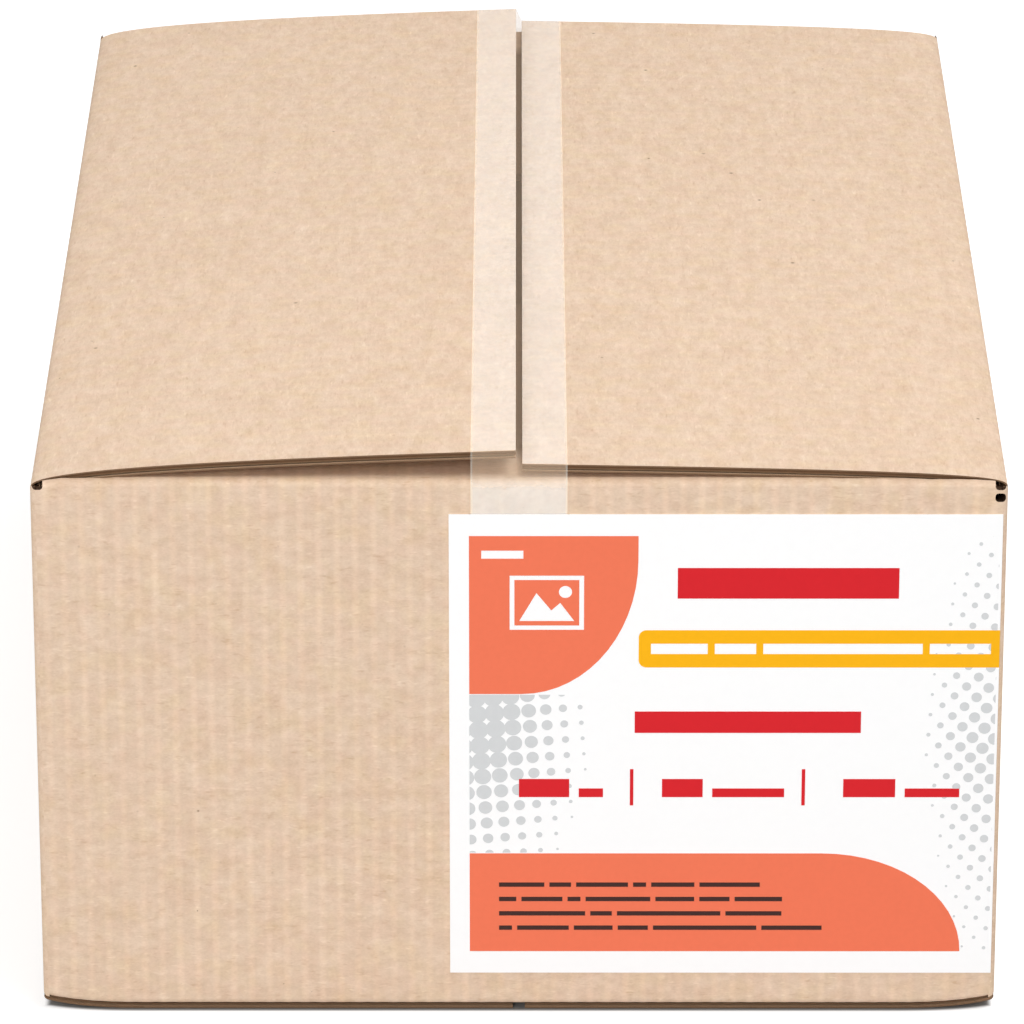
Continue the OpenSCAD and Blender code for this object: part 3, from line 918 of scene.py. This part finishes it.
class CARTON_OT_tape(bpy.types.Operator):
    """Makes the strip of tape over the top seam"""
    bl_idname = "carton.tape"
    bl_label = "Closing Tape"

    def execute(self, context):
        tape, tones = settings("tape"), settings("colours")
        across = self.columns()
        lower = self.path(across, tape.glue)
        upper = self.path(across, tape.glue + tape.film)
        rings = np.concatenate([upper, lower[:, ::-1]], axis=1)
        points, faces, slots = solid_from_rings(rings, (0, 0, 1))
        # Painted highlight: faces along the film's edges take slot 1, a brighter, denser film
        slots[np.abs(points[faces].mean(axis=1)[:, 0]) > TAPE_HALF - tape.edge] = 1
        film = make_piece("tape_film", [quad_mesh("tape_film", (points, faces, slots))],
                          [film_finish("tape_film", tones.film, tones.loose_film),
                           film_finish("tape_edge", tones.film_edge_highlight, tones.film_edge_highlight, 1.25)],
                          "closing_tape", sharp=60)
        for name, values in zip(("hold", "veil"), self.hold_and_veil(points)):
            attribute = film.data.attributes.new(name, "FLOAT", "POINT")
            attribute.data.foreach_set("value", values.astype(np.float32))
        film.visible_shadow = False
        return {"FINISHED"}

    def hold_and_veil(self, points):
        """How far the film sticks, and its cover.

        It holds fully on the flaps and down the panels, and not over the
        seam and between flap and panel, with a soft run round the fold. Its
        cover runs between those of loose and stuck film in the same way.
        """
        board, tape = settings("board"), settings("tape")
        x, y, z = np.moveaxis(points, -1, 0)
        on_flap = np.abs(y) < HALF_L - board.setback
        over_seam = np.abs(x) < settings("flaps").seam_gap / 2
        run = np.clip((board.fold_h - z) / tape.settle + 0.5, 0, 1)
        hold = np.where(on_flap, np.where(over_seam, 0, 1), run * run * (3 - 2 * run))
        full = np.where(on_flap, tape.flap_veil, tape.panel_veil)
        free = np.where(on_flap, tape.seam_veil, tape.loose_veil)
        return hold, free + (full - free) * hold

    def columns(self):
        """Places across the tape: close together at its edges and the seam,
        with a pair at each flap's edge, where the look changes at once."""
        tape, flaps = settings("tape"), settings("flaps")
        half, gap = TAPE_HALF, flaps.seam_gap / 2
        flank = np.linspace(gap, half - tape.edge, 12)
        inside = np.linspace(-gap, gap, 7) * 0.98
        return np.concatenate([[-half], -flank[::-1], inside, flank, [half]])

    def path(self, across, lift):
        """Side view of the tape at each place across, at one lift off the board.

        The path goes up the front panel, round its fold, straight on to the
        flap's edge, along the flap's top and down again at the back.
        """
        board = settings("board")
        left, right = flap_heights(np.minimum(HALF_W - np.abs(across), flap_length()))
        share = np.clip(across / settings("flaps").seam_gap + 0.5, 0, 1)
        top = left * (1 - share) + right * share + lift
        face, edge = HALF_L + lift, HALF_L - board.setback + lift
        fold = board.fold_h - board.fold_r / 2 + lift / 2
        tail = np.linspace([face, TAPE_END], [face, fold], 30)[:, None]
        panel = tail + np.zeros((1, len(across), 1))
        span = np.linspace(0, 1, 10)[1:, None]
        bridge = np.stack([face + (edge - face) * span + 0 * top,
                           fold + (top - fold) * span], axis=-1)
        climb = np.concatenate([panel, bridge])
        front = climb * [-1, 1]
        near_edge = edge - TAPE_STEP
        along = np.linspace(-near_edge, near_edge, 160)[:, None]
        flat = np.stack([along + 0 * top, top + 0 * along], axis=-1)
        side = np.concatenate([front, flat, climb[::-1]])
        x = np.broadcast_to(across, side.shape[:2])
        return np.stack([x, side[..., 0], side[..., 1]], axis=-1)


class CARTON_OT_label(bpy.types.Operator):
    """Gives the label and its print their paper and inks"""
    bl_idname = "carton.label"
    bl_label = "Label"

    def execute(self, context):
        tones = settings("colours")
        finishes = {
            "label_sheet": paper_finish("label_paper", tones.paper),
            "orange_print": ink_finish("orange_ink", tones.orange),
            "yellow_print": ink_finish("yellow_ink", tones.yellow),
            "red_print": ink_finish("red_ink", tones.red),
            "dark_print": ink_finish("dark_ink", tones.dark),
        }
        for node, material in finishes.items():
            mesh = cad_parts[node].data
            mesh.materials.clear()
            mesh.materials.append(material)
        return {"FINISHED"}


class CARTON_OT_dots(bpy.types.Operator):
    """Makes the grey dots at both sides of the label"""
    bl_idname = "carton.dots"
    bl_label = "Grey Dots"

    def execute(self, context):
        make_piece("dots", [self.left_dots(), self.right_dots()],
                   [ink_finish("grey_ink", settings("colours").grey)],
                   "grey_dots")
        return {"FINISHED"}

    def left_dots(self):
        """Dots that shrink with the distance from the block's lower left
        corner, measured at half scale in height, and are even near it."""
        label = settings("label")
        corner = np.array([label.margin, label.block_base])
        centres, layer = self.lattice(corner + np.array([1.5, -1.2]) * MM,
                                      label.left_pitch, label.left_turn, 11)
        x, z = np.moveaxis(centres - corner, -1, 0)
        fade = 1 - np.hypot(x, z / 2) / label.left_reach
        radius = np.minimum(label.left_dot, label.left_dot * 4 / 3 * fade)
        low = np.array([label.margin, label.band_top + DOT_GAP])
        high = np.array([label.margin + label.left_reach, label.block_base - DOT_GAP])
        return self.discs(centres, radius, layer, low, high)

    def right_dots(self):
        """Dots that shrink with the height above or below the largest, and
        with the square of the distance from the label's right edge."""
        label = settings("label")
        width = LABEL_HIGH[0] - LABEL_LOW[0]
        middle = np.array([width - 0.4 * label.right_dot, label.right_h])
        centres, layer = self.lattice(middle, label.right_pitch, label.right_turn, 15)
        x, z = np.moveaxis(centres - middle, -1, 0)
        radius = label.right_dot * (1 - np.abs(z) / label.right_spread
                                    - (x / label.right_reach) ** 2)
        low = np.array([middle[0] - label.right_reach, label.band_base])
        high = np.array([middle[0], label.block_top])
        return self.discs(centres, radius, layer, low, high)

    def lattice(self, centre, pitch, turn, reach):
        """Centres of a turned square lattice, and a layer from 0 to 2 that
        differs between neighbours."""
        steps = np.arange(-reach, reach + 1)
        i, j = (grid.ravel() for grid in np.meshgrid(steps, steps, indexing="ij"))
        c, s = cos(radians(turn)), sin(radians(turn))
        return centre + pitch * np.stack([i * c - j * s, i * s + j * c], axis=-1), (i + j) % 3

    def discs(self, centres, radius, layer, low, high):
        """Mesh of flat discs of ink on the label, cut off round a window."""
        label = settings("label")
        rim = circle(28)
        inside = np.all((centres + radius[:, None] > low) & (centres - radius[:, None] < high),
                        axis=1)
        discs = []
        for k in np.flatnonzero(inside & (radius > label.least_dot)):
            face = label.dot_ink + layer[k] * 0.002 * MM
            discs.append(self.plate(centres[k] + radius[k] * rim, face, 0))
        corners = np.array([low, (high[0], low[1]), high, (low[0], high[1])])
        window = self.plate(corners, 1 * MM, -1 * MM)
        return cut_mesh(quad_mesh("dots", join(discs)), [window], "INTERSECT")

    def plate(self, outline, front, back):
        """Flat solid on the label, between two heights above its face."""
        flat = outline + LABEL_LOW[[0, 2]]
        rings = [np.insert(flat, 1, LABEL_LOW[1] - rise, axis=-1) for rise in (front, back)]
        return solid_from_rings(np.stack(rings), (0, 0, 0))


def background_rays(tree):
    """1 for the rays that see the background as white: those of the camera,
    and those that a glossy or clear surface sends there."""
    path = tree.nodes.new("ShaderNodeLightPath")
    seen = path.outputs["Is Camera Ray"]
    for ray in ("Is Glossy Ray", "Is Transmission Ray"):
        either = tree.nodes.new("ShaderNodeMath")
        either.operation = "MAXIMUM"
        tree.links.new(seen, either.inputs[0])
        tree.links.new(path.outputs[ray], either.inputs[1])
        seen = either.outputs[0]
    return seen


class CARTON_OT_stage(bpy.types.Operator):
    """Makes the floor, the soft light and the camera"""
    bl_idname = "carton.stage"
    bl_label = "Stage"

    def execute(self, context):
        scene = context.scene
        scene.view_settings.view_transform = "Standard"
        self.make_floor()
        self.make_world(scene)
        self.make_lamps()
        self.make_camera(scene)
        return {"FINISHED"}

    def make_floor(self):
        """A wide pale floor that the camera sees nearly white.

        Under the carton it has a painted shade, dimmed to UNDER_SHADE of its
        colour, and no glow. The soft line between runs from 1.5 mm inside the
        carton's outline to 0.3 mm outside it. At the ends it draws in towards
        the corners by up to 3 mm, with the cube of the way along the bottom
        flaps' lifted parts.
        """
        corners = [(x * FLOOR_REACH, y * FLOOR_REACH, 0)
                   for x, y in ((-1, -1), (1, -1), (1, 1), (-1, 1))]
        mesh = bpy.data.meshes.new("floor")
        mesh.from_pydata(corners, [], [(0, 1, 2, 3)])
        finish = Finish("floor_paint")
        tone = settings("colours").floor
        place = finish.node("ShaderNodeSeparateXYZ", {0: finish.place}).outputs
        beyond = [finish.math("SUBTRACT", finish.math("ABSOLUTE", place[k]), half)
                  for k, half in enumerate((HALF_W, HALF_L))]
        near = finish.above(beyond[0], -settings("flaps").bottom_run, 0)
        draw_in = finish.math("MULTIPLY", finish.math("POWER", near, 3.0), 3 * MM)
        beyond[1] = finish.math("ADD", beyond[1], draw_in)
        clear = finish.node("ShaderNodeMapRange",
                            {0: finish.math("MAXIMUM", *beyond), 1: -1.5 * MM, 2: 0.3 * MM},
                            interpolation_type="SMOOTHSTEP").outputs[0]
        hue = finish.tint(tone, finish.noise(3, 2), 0.99, 1.0)
        # Painted shade: the floor's colour dims to UNDER_SHADE under the carton
        hue = finish.tint(hue, clear, UNDER_SHADE, 1.0)
        finish.set(Base_Color=hue, Roughness=0.9, Specular_IOR_Level=0.1)
        glow = finish.math("MULTIPLY", clear, FLOOR_GLOW)
        seen = finish.math("MULTIPLY", background_rays(finish.tree), glow)
        finish.set(Emission_Color=(1, 1, 1, 1), Emission_Strength=seen)
        mesh.materials.append(finish.material)
        floor = bpy.data.objects.new("floor", mesh)
        bpy.context.scene.collection.objects.link(floor)

    def make_world(self, scene):
        """A white world, dimmer as a light than as a background."""
        world = bpy.data.worlds.new("studio")
        world.use_nodes = True
        scene.world = world
        nodes, links = world.node_tree.nodes, world.node_tree.links
        level = nodes.new("ShaderNodeMapRange")
        level.inputs[3].default_value = WORLD_LIGHT
        level.inputs[4].default_value = 1.0
        links.new(background_rays(world.node_tree), level.inputs[0])
        links.new(level.outputs[0], nodes["Background"].inputs["Strength"])
        nodes["Background"].inputs["Color"].default_value = (1, 1, 1, 1)

    def make_lamps(self):
        """Soft boxes: place, size in metres and power in watts."""
        for name, place, size, power in (
                ("key_box", (0.6, -0.45, 1.7), 1.2, 18.8),
                ("fill_box", (-0.8, -1.9, 0.7), 1.2, 16.9)):
            light = bpy.data.lights.new(name, "AREA")
            light.size = size
            light.energy = power
            lamp = bpy.data.objects.new(name, light)
            lamp.location = place
            aim = MIDDLE - Vector(place)
            lamp.rotation_euler = aim.to_track_quat("-Z", "Y").to_euler()
            bpy.context.scene.collection.objects.link(lamp)

    def make_camera(self, scene):
        """The photograph's camera, at its distance from the point it looks at."""
        stage = settings("stage")
        aim = Vector((stage.aim_x, 0, stage.aim_z))
        up, turn = radians(stage.elevation), radians(stage.turn)
        back = Vector((sin(turn) * cos(up), -cos(turn) * cos(up), sin(up)))
        data = bpy.data.cameras.new("camera")
        data.lens = stage.lens
        data.sensor_width = 36
        camera = bpy.data.objects.new("camera", data)
        camera.location = aim + back * stage.distance
        camera.rotation_euler = (-back).to_track_quat("-Z", "Y").to_euler()
        scene.collection.objects.link(camera)
        scene.camera = camera


OPERATORS = (CARTON_OT_stage, CARTON_OT_end_panels, CARTON_OT_side_panels,
             CARTON_OT_top_flaps, CARTON_OT_bottom_flaps, CARTON_OT_packs,
             CARTON_OT_tape, CARTON_OT_label, CARTON_OT_dots)

GROUPS = {"board": CartonBoard, "flaps": CartonFlaps, "paper": CartonPaper,
          "tape": CartonTape, "label": CartonLabel, "colours": CartonColours,
          "stage": CartonStage}


class CARTON_PT_panel(bpy.types.Panel):
    bl_idname = "CARTON_PT_panel"
    bl_label = "Sealed Carton"
    bl_space_type = "VIEW_3D"
    bl_region_type = "UI"
    bl_category = "Carton"

    def draw(self, context):
        for name, group in GROUPS.items():
            box = self.layout.box()
            box.label(text=name.capitalize())
            for setting in group.__annotations__:
                box.prop(settings(name), setting)
        for operator in OPERATORS:
            self.layout.operator(operator.bl_idname)


def register():
    for name, group in GROUPS.items():
        bpy.utils.register_class(group)
        setattr(bpy.types.Scene, "carton_" + name, PointerProperty(type=group))
    for shown in (*OPERATORS, CARTON_PT_panel):
        bpy.utils.register_class(shown)


def unregister():
    for shown in (CARTON_PT_panel, *reversed(OPERATORS)):
        bpy.utils.unregister_class(shown)
    for name, group in reversed(GROUPS.items()):
        delattr(bpy.types.Scene, "carton_" + name)
        bpy.utils.unregister_class(group)


def main():
    register()
    bpy.ops.carton.stage()
    bpy.ops.carton.end_panels()
    bpy.ops.carton.side_panels()
    bpy.ops.carton.top_flaps()
    bpy.ops.carton.bottom_flaps()
    bpy.ops.carton.packs()
    bpy.ops.carton.tape()
    bpy.ops.carton.label()
    bpy.ops.carton.dots()


if __name__ == "__main__":
    main()
